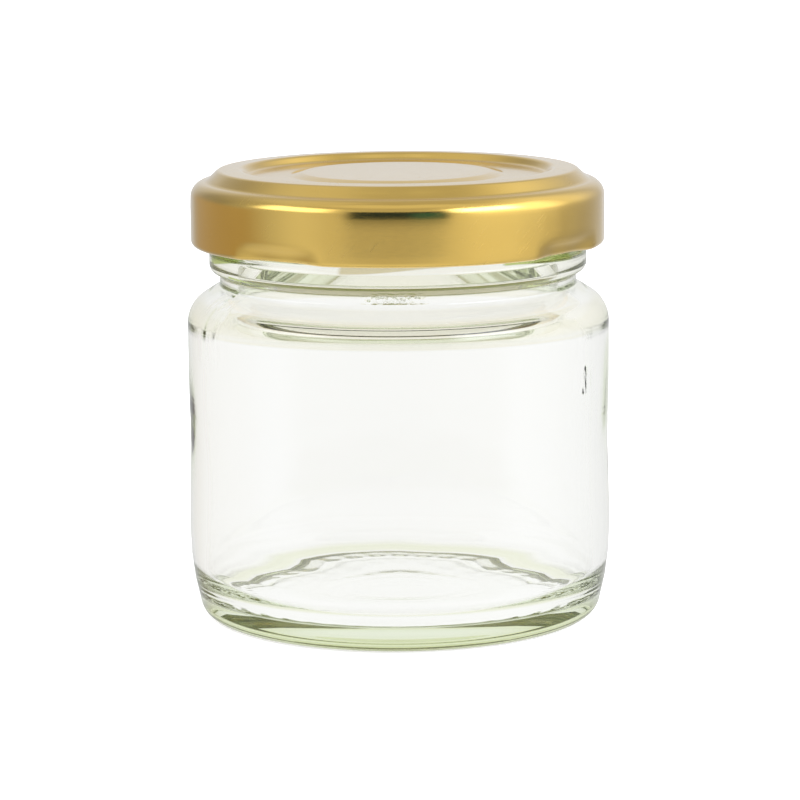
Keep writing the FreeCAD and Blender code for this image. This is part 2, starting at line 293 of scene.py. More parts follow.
# ------------------------------------------------------------------ node helpers
class Nodes:
    """Short ways to add shader nodes to a material's or a world's tree.

    A value is a number, a colour or the output of another node.
    """

    def __init__(self, owner: bpy.types.Material | bpy.types.World) -> None:
        """Start from an empty tree.

        Args:
            owner: the material or the world.
        """
        owner.use_nodes = True
        self.tree = owner.node_tree
        self.tree.nodes.clear()

    def add(self, kind: str, **settings: object) -> bpy.types.Node:
        """Add a node.

        Args:
            kind: Blender's name for the kind of node.
            settings: its properties.

        Returns:
            The new node.
        """
        node = self.tree.nodes.new(kind)
        for key, value in settings.items():
            setattr(node, key, value)
        return node

    def link(self, source: Socket, target: Socket) -> None:
        """Join an output to an input."""
        self.tree.links.new(source, target)

    def feed(self, node: bpy.types.Node, inputs: dict[str | int, object]) -> None:
        """Link outputs to a node's inputs, or set the inputs' own values.

        Args:
            node: the node.
            inputs: value for each input, which is given by its name or its place.
        """
        for name, value in inputs.items():
            if isinstance(value, Socket):
                self.link(value, node.inputs[name])
            else:
                node.inputs[name].default_value = value

    def math(self, operation: str, *values: object) -> Socket:
        """One step of arithmetic.

        Args:
            operation: Blender's name for it.
            values: what it works on.

        Returns:
            The output that holds the result.
        """
        node = self.add("ShaderNodeMath", operation=operation)
        self.feed(node, dict(enumerate(values)))
        return node.outputs[0]

    def product(self, first: object, *others: object) -> Socket:
        """The product of values.

        Args:
            first: one value.
            others: the values that it is multiplied by, one after the other.

        Returns:
            The output that holds the product.
        """
        result = first
        for other in others:
            result = self.math("MULTIPLY", other, result)
        return result

    def ramp(self, value: object, low: float, high: float, start: float = 0.0,
             stop: float = 1.0) -> Socket:
        """Map a value smoothly from one range to another, and hold it outside.

        Args:
            value: the value.
            low: where the first range starts.
            high: where it ends.
            start: result at low.
            stop: result at high.

        Returns:
            The output that holds the result.
        """
        node = self.add("ShaderNodeMapRange", interpolation_type="SMOOTHSTEP")
        self.feed(node, {"Value": value, "From Min": low, "From Max": high, "To Min": start, "To Max": stop})
        return node.outputs["Result"]

    def band(self, height: Socket, low: float, high: float, soft: float) -> Socket:
        """Pick out a band of heights.

        Args:
            height: height in metres.
            low: millimetres where the band starts.
            high: millimetres where it ends.
            soft: millimetres over which it fades outside both.

        Returns:
            The output that is 1 in the band and 0 away from it.
        """
        above = self.ramp(height, (low - soft) * MM, low * MM)
        below = self.ramp(height, high * MM, (high + soft) * MM, 1.0, 0.0)
        return self.product(below, above)

    def mix(self, share: object, first: object, second: object) -> Socket:
        """Blend two colours.

        Args:
            share: 0 for the first colour, 1 for the second.
            first: the first colour.
            second: the second colour.

        Returns:
            The output that holds the blend.
        """
        node = self.add("ShaderNodeMix", data_type="RGBA")
        self.feed(node, {"Factor": share, MIX_FIRST: first, MIX_SECOND: second})
        return node.outputs[MIX_RESULT]

    def place(self) -> Socket:
        """Object coordinates in metres."""
        return self.add("ShaderNodeTexCoord").outputs["Object"]

    def split(self, vector: Socket) -> tuple[Socket, ...]:
        """Take a vector apart.

        Args:
            vector: the vector.

        Returns:
            The outputs that hold its three parts.
        """
        node = self.add("ShaderNodeSeparateXYZ")
        self.feed(node, {0: vector})
        return tuple(node.outputs)

    def azimuth(self, x: Socket, y: Socket) -> Socket:
        """Degrees from the front to a direction, positive to the right: atan2(x, -y)."""
        return self.math("DEGREES", self.math("ARCTAN2", x, self.math("MULTIPLY", y, -1.0)))

    def stretched(self, vector: object, scale: Triple,
                  turn: Triple = (0.0, 0.0, 0.0)) -> Socket:
        """Turn a vector and then scale it along its axes.

        Args:
            vector: the vector.
            scale: factor along each axis.
            turn: radians about each axis.

        Returns:
            The output that holds the new vector.
        """
        node = self.add("ShaderNodeMapping")
        self.feed(node, {"Vector": vector, "Rotation": turn, "Scale": scale})
        return node.outputs[0]

    def noise(self, vector: object, scale: float, detail: float = 2.0, rough: float = 0.5) -> Socket:
        """Soft noise.

        Args:
            vector: where it is read.
            scale: its waves per metre.
            detail: number of finer layers on it.
            rough: strength of each layer beside the one before.

        Returns:
            The output that holds it, from 0 to 1.
        """
        node = self.add("ShaderNodeTexNoise")
        self.feed(node, {"Vector": vector, "Scale": scale, "Detail": detail, "Roughness": rough})
        return node.outputs["Fac"]

    def bump(self, relief: Socket, strength: float, distance: float) -> Socket:
        """Normals that follow a relief.

        Args:
            relief: its height.
            strength: how much of it shows.
            distance: metres that a height of 1 stands for.

        Returns:
            The output that holds the normals.
        """
        node = self.add("ShaderNodeBump")
        self.feed(node, {"Strength": strength, "Distance": distance, "Height": relief})
        return node.outputs[0]

    def surface(self, inputs: dict[str | int, object]) -> bpy.types.Node:
        """Make the material's surface.

        Args:
            inputs: values for the Principled shader.

        Returns:
            The material's output node, for a volume to be added.
        """
        output = self.add("ShaderNodeOutputMaterial")
        shader = self.add("ShaderNodeBsdfPrincipled")
        self.feed(shader, inputs)
        self.link(shader.outputs[0], output.inputs["Surface"])
        return output


def rgba(colour: Colour) -> tuple[float, float, float, float]:
    """A colour with full alpha."""
    return (*colour, 1.0)


def grey(light: float) -> tuple[float, float, float, float]:
    """A grey with full alpha."""
    return rgba((light, light, light))


# ------------------------------------------------------------------ finishes
@dataclass(frozen=True)
class Spot:
    """Where on the glass a shader is, as outputs of nodes.

    Attributes:
        place: Object coordinates in metres.
        height: height in metres.
        radius: metres from the axis.
        azimuth: degrees from the front, positive to the right.
    """

    place: Socket
    height: Socket
    radius: Socket
    azimuth: Socket

    @classmethod
    def of(cls, nodes: Nodes) -> Spot:
        """Work the outputs out from Object coordinates, the radius as the root of x^2 + y^2.

        Args:
            nodes: the glass's nodes.

        Returns:
            The outputs.
        """
        place = nodes.place()
        x, y, height = nodes.split(place)
        square = nodes.math("ADD", nodes.product(x, x), nodes.product(y, y))
        return cls(place, height, nodes.math("SQRT", square), nodes.azimuth(x, y))


@dataclass(frozen=True)
class ShadeBand:
    """A band of heights where the glass is thick, painted greener and darker: painted reflection and shade,
    for the olive bands that light reflected inside the glass and the lid's shade give there.

    Attributes:
        low: height in millimetres where the tint starts.
        high: height where it ends.
        soft: millimetres over which it fades at both ends.
        colour: the painted shade that the surface lets through.
        least_radius: millimetres from the axis inside which it doesn't show.
        radius_soft: millimetres over which it fades there.
    """

    low: float
    high: float
    soft: float
    colour: Colour
    least_radius: float = 0.0
    radius_soft: float = 1.0

    def share(self, nodes: Nodes, spot: Spot) -> Socket:
        """How much of the painted shade a place takes: 1 inside, fading to 0 outside.

        Args:
            nodes: the glass's nodes.
            spot: where the shader is.

        Returns:
            The output that holds the share.
        """
        beyond = nodes.ramp(spot.radius, (self.least_radius - self.radius_soft) * MM, self.least_radius * MM)
        return nodes.product(nodes.band(spot.height, self.low, self.high, self.soft), beyond)


@dataclass(frozen=True)
class ShadeWedge:
    """A slanting sliver under the lid, by a thread start, where the glass is painted darker: painted shade
    for the lid's shade on the glass.

    Attributes:
        start: degrees of azimuth from the front to its left end.
        stop: degrees of azimuth to its right end.
        low_start: height in millimetres of its lower edge at the left end.
        low_stop: that height at the right end.
        colour: the painted shade that the surface lets through.
        edge_soft: millimetres from the middle of the lower edge's fade to its ends.
        end_softs: that measure in degrees for the left and the right end.
        outside: millimetres from the axis between which the glass's outer side starts.
    """

    start: float
    stop: float
    low_start: float
    low_stop: float
    colour: Colour
    edge_soft: float = 0.1
    end_softs: Pair = (1.0, 3.0)
    outside: Pair = (23.4, 23.6)

    def share(self, nodes: Nodes, spot: Spot) -> Socket:
        """How much of the painted shade a place takes: the outer side, between the ends, above the edge.

        Args:
            nodes: the glass's nodes.
            spot: where the shader is.

        Returns:
            The output that holds the share.
        """
        left, right = self.end_softs
        edge = nodes.ramp(spot.azimuth, self.start, self.stop, self.low_start * MM, self.low_stop * MM)
        over = nodes.math("SUBTRACT", spot.height, edge)
        above = nodes.ramp(over, -self.edge_soft * MM, self.edge_soft * MM)
        after = nodes.ramp(spot.azimuth, self.start - left, self.start + left)
        before = nodes.ramp(spot.azimuth, self.stop - right, self.stop + right, 1.0, 0.0)
        outer_side = nodes.ramp(spot.radius, self.outside[0] * MM, self.outside[1] * MM)
        return nodes.product(nodes.product(before, after), nodes.product(outer_side, above))


@dataclass(frozen=True)
class Wrinkle:
    """A patch where the cooling glass crept: fine ripples that bend what shows through.

    Attributes:
        middle: degrees of azimuth from the front to its middle.
        half_width: degrees from its middle to its sides.
        low: height in millimetres where it starts.
        high: height where it ends.
        soft: millimetres over which it fades at both heights.
        stretch: how much finer its ripples are along x and y than along z.
        scale: ripples per metre, before the stretch.
        depth: depth of a ripple in millimetres.
        core: share of the half width inside which it is full.
        detail: number of finer layers on the ripples.
    """

    middle: float
    half_width: float
    low: float
    high: float
    soft: float
    stretch: float
    scale: float
    depth: float
    core: float = 0.4
    detail: float = 1.0

    def ripple(self, nodes: Nodes, spot: Spot) -> Socket:
        """Height of the ripples: a noise inside the patch, and 0 outside it.

        Args:
            nodes: the glass's nodes.
            spot: where the shader is.

        Returns:
            The output that holds the height in metres.
        """
        off = nodes.math("ABSOLUTE", nodes.math("SUBTRACT", spot.azimuth, self.middle))
        across = nodes.ramp(off, self.half_width * self.core, self.half_width, 1.0, 0.0)
        share = nodes.product(nodes.band(spot.height, self.low, self.high, self.soft), across)
        fine_place = nodes.stretched(spot.place, (self.stretch, self.stretch, 1.0))
        noise = nodes.noise(fine_place, self.scale, self.detail)
        return nodes.math("MULTIPLY", share, nodes.math("MULTIPLY", noise, self.depth * MM))


@dataclass(frozen=True)
class ClearGlass:
    """Soda-lime glass: clear across a thin wall, faintly green along a thick one.

    Attributes:
        index: how strongly it bends light.
        tint: colour of the light that its inside leaves.
        density: how fast the inside takes the rest, per metre.
        shade_bands: bands painted greener and darker, as painted reflection and shade.
        shade_wedges: slivers of painted shade under the lid.
        wrinkles: patches of ripples.
    """

    index: float = 1.5
    tint: Colour = (0.74, 0.82, 0.58)
    density: float = 14.0
    shade_bands: tuple[ShadeBand, ...] = (
        # Painted reflection: the olive heel rim outside the foot.
        ShadeBand(-1.0, 1.3, 1.8, (0.79, 0.82, 0.58), 26.6),
        # Painted reflection: the olive band where the shoulder's inner side shows through.
        ShadeBand(41.2, 43.4, 0.7, (0.93, 0.915, 0.83)),
        ShadeBand(46.6, 50.4, 0.4, (0.96, 0.955, 0.91)),
        # Painted shade: the greener finish under the lid's skirt.
        ShadeBand(50.8, 60.0, 0.3, (0.80, 0.88, 0.55)),
    )
    shade_wedges: tuple[ShadeWedge, ...] = (
        # Painted shade under the lid: dark green slivers at both sides, a tan one at the front.
        ShadeWedge(-78.0, -54.0, 48.9, 49.9, (0.26, 0.36, 0.05)),
        ShadeWedge(33.0, 66.0, 50.25, 49.75, (0.30, 0.38, 0.06)),
        ShadeWedge(-17.5, 15.0, 49.7, 50.5, (0.52, 0.43, 0.22)),
    )
    wrinkles: tuple[Wrinkle, ...] = (
        Wrinkle(-1.0, 12.0, 45.9, 47.0, 0.3, 1.0, 1300.0, 0.30),
        Wrinkle(-63.0, 7.0, 37.5, 44.0, 2.0, 5.0, 90.0, 0.08),
        Wrinkle(64.0, 5.0, 17.0, 39.0, 3.0, 5.0, 60.0, 0.05),
        Wrinkle(61.0, 4.5, 32.3, 35.3, 0.8, 2.0, 350.0, 0.06),
    )

    def build(self) -> bpy.types.Material:
        """Make the glass: a surface with painted shade and reflection and with ripples, round a plain
        absorbing volume.

        Returns:
            The new material.
        """
        material = bpy.data.materials.new("clear_glass")
        nodes = Nodes(material)
        spot = Spot.of(nodes)
        colour = rgba(WHITE)
        # Painted shade and reflection: each band and sliver darkens the glass's colour.
        for painted_shade in (*self.shade_bands, *self.shade_wedges):
            colour = nodes.mix(painted_shade.share(nodes, spot), colour, rgba(painted_shade.colour))
        relief = 0.0
        for wrinkle in self.wrinkles:
            relief = nodes.math("ADD", wrinkle.ripple(nodes, spot), relief)
        output = nodes.surface({
            "Base Color": colour, "Roughness": 0.0, "IOR": self.index, "Transmission Weight": 1.0,
            "Normal": nodes.bump(relief, strength=1.0, distance=1.0),
        })
        volume = nodes.add("ShaderNodeVolumeAbsorption")
        nodes.feed(volume, {"Color": rgba(self.tint), "Density": self.density})
        nodes.link(volume.outputs[0], output.inputs["Volume"])
        return material


@dataclass(frozen=True)
class GoldLacquer:
    """Tinplate under gold lacquer: satin metal below a thin clear coat, with fine scratches.

    Attributes:
        base: colour of the lacquered metal where it is lightest.
        deep: its colour where it is darkest.
        tone_scale: patches of tone per metre.
        roughness: roughness of the metal.
        grain_scale: grains of the rolled plate per metre.
        grain_stretch: how much finer the grain is along each axis.
        grain_rough: least and most that the grain adds to the roughness.
        grain_relief: strength and depth in millimetres of the grain's relief.
        middle_span: range of a noise that its tone or grain is taken from.
        coat: how much clear coat there is.
        coat_index: how strongly the coat bends light.
        coat_roughness: roughness of the coat.
        scratch_slant: degrees between the scratches and the upright.
        scratch_stretch: how much finer the scratches are along each turned axis.
        scratch_scale: scratches per metre, before the stretch.
        scratch_span: range of the noise over which a scratch appears.
        scratch_rough: roughness that a scratch adds.
        patch_scale: scratched patches per metre.
        patch_span: range of the noise over which a patch appears.
    """

    base: Colour = (0.84, 0.575, 0.135)
    deep: Colour = (0.80, 0.535, 0.115)
    tone_scale: float = 90.0
    roughness: float = 0.15
    grain_scale: float = 900.0
    grain_stretch: Triple = (1.0, 1.0, 9.0)
    grain_rough: Pair = (-0.02, 0.03)
    grain_relief: Pair = (0.06, 0.02)
    middle_span: Pair = (0.3, 0.7)
    coat: float = 0.8
    coat_index: float = 1.5
    coat_roughness: float = 0.09
    scratch_slant: float = 40.0
    scratch_stretch: Triple = (1.0, 0.1, 0.05)
    scratch_scale: float = 6500.0
    scratch_span: Pair = (0.64, 0.72)
    scratch_rough: float = 0.14
    patch_scale: float = 160.0
    patch_span: Pair = (0.47, 0.62)

    def build(self) -> bpy.types.Material:
        """Make metal whose roughness and tone vary a little, as rolled and handled plate does.

        Returns:
            The new material.
        """
        material = bpy.data.materials.new("gold_lacquer")
        nodes = Nodes(material)
        place = nodes.place()
        tone = nodes.ramp(nodes.noise(place, self.tone_scale), *self.middle_span)
        along_grain = nodes.stretched(place, self.grain_stretch)
        grain = nodes.noise(along_grain, self.grain_scale, detail=3.0, rough=0.6)
        least, most = self.grain_rough
        rough = nodes.ramp(grain, *self.middle_span, self.roughness + least, self.roughness + most)
        scratched = nodes.math("MULTIPLY", self.scratches(nodes, place), self.scratch_rough)
        strength, depth = self.grain_relief
        nodes.surface({
            "Base Color": nodes.mix(tone, rgba(self.deep), rgba(self.base)), "Metallic": 1.0,
            "Roughness": nodes.math("ADD", rough, scratched),
            "Coat Weight": self.coat, "Coat IOR": self.coat_index, "Coat Roughness": self.coat_roughness,
            "Normal": nodes.bump(grain, strength, depth * MM),
        })
        return material

    def scratches(self, nodes: Nodes, place: Socket) -> Socket:
        """Sparse slanting hairlines: the peaks of a noise that is stretched along one slant.

        Args:
            nodes: the lacquer's nodes.
            place: Object coordinates.

        Returns:
            The output that is 1 on a scratch and 0 beside it.
        """
        turned = nodes.stretched(place, (1.0, 1.0, 1.0), (0.0, math.radians(-self.scratch_slant), 0.0))
        hair = nodes.noise(nodes.stretched(turned, self.scratch_stretch), self.scratch_scale, detail=1.0)
        patches = nodes.ramp(nodes.noise(place, self.patch_scale), *self.patch_span)
        return nodes.math("MULTIPLY", nodes.ramp(hair, *self.scratch_span), patches)


@dataclass(frozen=True)
class InnerLacquer:
    """Pale lacquer on the inner side of the lid, seen only through the glass, with a painted glow.

    Attributes:
        colour: its colour.
        roughness: its roughness.
        glow: a faint glow, for the light that many bounces bring under the lid.
    """

    colour: Colour = (0.66, 0.62, 0.42)
    roughness: float = 0.35
    glow: float = 0.25

    def build(self) -> bpy.types.Material:
        """Make the satin coat with its painted glow, which stands in for bounce light under the lid.

        Returns:
            The new material.
        """
        material = bpy.data.materials.new("inner_lacquer")
        colour = rgba(self.colour)
        Nodes(material).surface({
            "Base Color": colour, "Roughness": self.roughness,
            # Painted light: the emission stands in for the light that bounces under the lid.
            "Emission Color": colour, "Emission Strength": self.glow,
        })
        return material


@dataclass(frozen=True)
class SealingCompound:
    """Cream plastic compound, cured smooth in the lid's channel.

    Attributes:
        colour: its colour where it is darkest.
        paler: how much lighter it is where it is lightest.
        mottle_scale: spots of its mottle per metre.
        roughness: its roughness.
    """

    colour: Colour = (0.72, 0.68, 0.55)
    paler: float = 1.1
    mottle_scale: float = 400.0
    roughness: float = 0.45

    def build(self) -> bpy.types.Material:
        """Make soft plastic with a faint mottle.

        Returns:
            The new material.
        """
        material = bpy.data.materials.new("sealing_compound")
        nodes = Nodes(material)
        mottle = nodes.noise(nodes.place(), self.mottle_scale, detail=3.0)
        pale = tuple(min(1.0, part * self.paler) for part in self.colour)
        nodes.surface({
            "Base Color": nodes.mix(mottle, rgba(self.colour), rgba(pale)), "Roughness": self.roughness,
        })
        return material


# ------------------------------------------------------------------ glass jar
@dataclass
class GlassJar:
    """The jar's glass: foot, wall with a sunk panel, shoulder, bead, threaded finish.

    The outer side follows the solid. The underside, the inner heel and the waves of the
    inner wall are this model's own. A round is the radius of a rounded corner.

    Attributes:
        body_radius: widest radius, read from the frame.
        rim_z: height of the rim, read from the frame.
        label_radius: radius in the middle of the sunk panel.
        upper_radius: radius between the panel and the shoulder.
        label_levels: heights of the panel's lower edge, middle and upper edge.
        label_rounds: rounds at its edges and in its middle.
        shoulder: height of the shoulder's corner, and its round.
        wall: thickness of the wall.
        heel_radius: round between the foot and the heel.
        heel_lean: degrees that the heel leans in.
        heel_corner_z: height where the heel meets the wall.
        heel_sweep: round of that corner.
        punt: height of the underside's middle.
        punt_flat: radius of its flat middle, and the round beside it.
        punt_edge: gap from the bars to the foot's inner corner, and that corner's round.
        knurl_span: inner and outer radius of the ring of bars.
        knurl_fades: how far a bar starts inside the inner radius, is full outside it, and
            starts to end inside the outer one.
        knurl_bars: number of bars.
        bar_height: height of a bar.
        bar_room: largest share of the gap under the base that a bar fills.
        bar_ceiling: how far above the punt the heights that can have bars end.
        floor_z: heights of the inner floor at its side and in its middle.
        floor_flat: radius of its flat middle, and the round beside it.
        inner_heel: round between the inner floor and wall.
        neck_radius: radius of the groove under the bead.
        neck_z: heights of the groove's lower and upper end.
        neck_rounds: rounds at both.
        bead_radius: radius of the bead below the lid.
        bead_high_z: height where the bead ends.
        bead_slopes: heights of the slopes under and over its widest part.
        bead_rounds: rounds at both.
        finish_radius: radius of the threaded part.
        finish_rounds: rounds at its foot and at the rim.
        bore_radius: radius of the mouth.
        bore_rounds: rounds at the rim and at the foot of the mouth.
        inner_shoulder_z: heights where the inner shoulder starts and ends.
        inner_shoulder_round: round where it ends.
        lugs: number of thread starts.
        lug_azimuth: degrees from +X to the lug that one start is set by.
        thread_depth: how far a thread stands out.
        thread_reach: degrees from the lug to the thread's two ends.
        thread_low_z: height of its line up to the lug.
        thread_rise: how much higher its far end is.
        thread_half_height: half the height of its section.
        thread_spread: how much farther than that it fades out.
        thread_ends: how fast its ends rise to the full depth.
        wave_depths: depths of the inner wall's slow, middle and fine waves.
        wave_starts: heights between which the waves set in.
        wave_stops: heights between which they die away.
        steps: degrees and millimetres between points of the profile.
        columns: number of steps round the axis.
    """

    body_radius: float
    rim_z: float
    label_radius: float = 28.48
    upper_radius: float = 28.68
    label_levels: Triple = (14.5, 25.5, 30.5)
    label_rounds: Pair = (100.0, 60.0)
    shoulder: Pair = (42.77, 4.38)
    wall: float = 2.45
    heel_radius: float = 2.33
    heel_lean: float = 15.0
    heel_corner_z: float = 6.83
    heel_sweep: float = 38.5
    punt: float = 0.7
    punt_flat: Pair = (10.0, 60.0)
    punt_edge: Pair = (0.7, 6.0)
    knurl_span: Pair = (20.7, 23.5)
    knurl_fades: Triple = (0.2, 0.5, 0.4)
    knurl_bars: int = 40
    bar_height: float = 0.08
    bar_room: float = 0.8
    bar_ceiling: float = 0.01
    floor_z: Pair = (2.9, 3.8)
    floor_flat: Pair = (9.0, 60.0)
    inner_heel: float = 5.0
    neck_radius: float = 24.21
    neck_z: Pair = (45.54, 46.8)
    neck_rounds: Pair = (0.35, 0.3)
    bead_radius: float = 25.62
    bead_high_z: float = 50.6
    bead_slopes: Pair = (0.9, 0.6)
    bead_rounds: Pair = (1.2, 1.0)
    finish_radius: float = 25.0
    finish_rounds: Pair = (0.3, 1.1)
    bore_radius: float = 21.8
    bore_rounds: Pair = (0.8, 3.0)
    inner_shoulder_z: Pair = (43.9, 40.6)
    inner_shoulder_round: float = 3.5
    lugs: int = 4
    lug_azimuth: float = -35.3
    thread_depth: float = 1.2
    thread_reach: Pair = (-14.0, 48.0)
    thread_low_z: float = 53.62
    thread_rise: float = 2.6
    thread_half_height: float = 1.0
    thread_spread: float = 1.1
    thread_ends: float = 2.2
    wave_depths: Triple = (0.05, 0.03, 0.012)
    wave_starts: Pair = (12.0, 20.0)
    wave_stops: Pair = (35.0, 40.0)
    steps: Pair = (6.0, 0.9)
    columns: int = 360
    piece: bpy.types.Object | None = field(default=None, init=False)

    def corners(self) -> tuple[Corner, ...]:
        """Half section of the glass, from the middle of the underside to the inner floor.

        Returns:
            (r, z, round) of each corner, outer side first.
        """
        foot = self.body_radius - self.heel_corner_z * math.tan(math.radians(self.heel_lean))
        low, middle, high = self.label_levels
        edge_round, middle_round = self.label_rounds
        bead_low_z, bead_top_z = self.neck_z[1] + self.bead_slopes[0], self.bead_high_z - self.bead_slopes[1]
        inner_low, inner_middle, inner_high = (
            radius - self.wall for radius in (self.body_radius, self.label_radius, self.upper_radius))
        return (
            (0.0, self.punt, 0.0),
            (self.punt_flat[0], self.punt, self.punt_flat[1]),
            (self.knurl_span[1] + self.punt_edge[0], 0.0, self.punt_edge[1]),
            (foot, 0.0, self.heel_radius),
            (self.body_radius, self.heel_corner_z, self.heel_sweep),
            (self.body_radius, low, edge_round),
            (self.label_radius, middle, middle_round),
            (self.upper_radius, high, edge_round),
            (self.upper_radius, *self.shoulder),
            (self.neck_radius, self.neck_z[0], self.neck_rounds[0]),
            (self.neck_radius, self.neck_z[1], self.neck_rounds[1]),
            (self.bead_radius, bead_low_z, self.bead_rounds[0]),
            (self.bead_radius, bead_top_z, self.bead_rounds[1]),
            (self.finish_radius, self.bead_high_z, self.finish_rounds[0]),
            (self.finish_radius, self.rim_z, self.finish_rounds[1]),
            (self.bore_radius, self.rim_z, self.bore_rounds[0]),
            (self.bore_radius, self.inner_shoulder_z[0], self.bore_rounds[1]),
            (inner_high, self.inner_shoulder_z[1], self.inner_shoulder_round),
            (inner_high, high, edge_round),
            (inner_middle, middle, middle_round),
            (inner_low, low, edge_round),
            (inner_low, self.floor_z[0], self.inner_heel),
            (self.floor_flat[0], self.floor_z[1], self.floor_flat[1]),
            (0.0, self.floor_z[1], 0.0),
        )

    def surface(self) -> tuple[np.ndarray, np.ndarray, np.ndarray]:
        """Radius and height over the profile and the azimuth, in millimetres.

        The profile is turned, then the threads push the finish outwards, the bars push
        the base down towards the standing level, and the inner wall is given the slow
        waves that blown glass has.

        Returns:
            (radius, height, azimuth), the first two of shape (n, m).
        """
        profile = Outline(self.corners(), *self.steps).points()
        radius, height, azimuth = carried_round(profile, self.columns)
        rim_row = int(np.argmax(profile[:, 1]))
        outer = (np.arange(len(profile)) < rim_row)[:, None]
        radius = radius + np.where(outer, self.thread_bump(height, azimuth), 0.0)
        height = height - np.where(outer, self.bar_bump(radius, height, azimuth), 0.0)
        radius = radius + np.where(outer, 0.0, self.wall_wave(height, azimuth))
        return radius, height, azimuth

    def thread_bump(self, height: np.ndarray, azimuth: np.ndarray) -> np.ndarray:
        """How far the threads stand out: a round ridge about a line that rises with azimuth.

        Across the line it is sqrt(1 - d^3), where d runs from 0 on the line to 1 at the
        ridge's edge, and along the line it is the start and end of a half wave of a sine.

        Args:
            height: (n, m) heights.
            azimuth: (m,) azimuths in radians.

        Returns:
            (n, m) millimetres.
        """
        start, stop = self.thread_reach
        turn = (np.degrees(azimuth) - self.lug_azimuth - start) % (360.0 / self.lugs)
        along = np.clip(turn / (stop - start), 0.0, 1.0)
        past_lug = np.clip(turn + start, 0.0, None) / stop
        line = self.thread_low_z + self.thread_rise * past_lug
        fade = np.minimum(1.0, np.sin(math.pi * along) * self.thread_ends)
        half = self.thread_half_height * self.thread_spread
        across = np.clip(np.abs(height - line) / half, 0.0, 1.0)
        return self.thread_depth * fade * np.sqrt(1.0 - across ** 3)

    def bar_bump(self, radius: np.ndarray, height: np.ndarray, azimuth: np.ndarray) -> np.ndarray:
        """How far the bars under the base reach down from the cone that they stand on.

        Pressed glass has soft bars, so each is one wave of a cosine, and its height is
        held to a share of the gap between the cone and the standing level.

        Args:
            radius: (n, m) radii.
            height: (n, m) heights.
            azimuth: (m,) azimuths in radians.

        Returns:
            (n, m) millimetres.
        """
        pitch = 360.0 / self.knurl_bars
        off = np.abs(off_centre(azimuth, 0.0, self.knurl_bars)) / pitch
        bar = 0.5 + 0.5 * np.cos(2.0 * math.pi * off)
        inner, outer = self.knurl_span
        before, past, last = self.knurl_fades
        ring = smooth_step(radius, inner - before, inner + past)
        ring = ring * (1.0 - smooth_step(radius, outer - last, outer))
        room = np.minimum(self.bar_height, self.bar_room * np.clip(height, 0.0, None))
        return room * bar * ring * (height < self.punt + self.bar_ceiling)

    def wall_wave(self, height: np.ndarray, azimuth: np.ndarray) -> np.ndarray:
        """Waves of the inner wall, in millimetres: three, seven and seventeen of them in a turn.

        The slow ones are sin(3a + 0.4) sin(z / 6.5), and the others are slanting ones,
        sin(7a + z / 9) and sin(17a - z / 4 + 1.1). They live on the body's height only.

        Args:
            height: (n, m) heights.
            azimuth: (m,) azimuths in radians.

        Returns:
            (n, m) millimetres.
        """
        body = smooth_step(height, *self.wave_starts) * (1.0 - smooth_step(height, *self.wave_stops))
        slow, middle, fine = self.wave_depths
        wave = (slow * np.sin(3 * azimuth + 0.4) * np.sin(height / 6.5)
                + middle * np.sin(7 * azimuth + height / 9.0)
                + fine * np.sin(17 * azimuth - height / 4.0 + 1.1))
        return body * wave

    def make(self, finish: bpy.types.Material) -> bpy.types.Object:
        """Build and dress the glass, and let it stand for the solid.

        Args:
            finish: the glass.

        Returns:
            The piece.
        """
        self.piece = turned_mesh("glass_jar", *self.surface(), Ends.POLES)
        self.piece.data.materials.append(finish)
        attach(self.piece, ROOT)
        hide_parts("jar")
        return self.piece


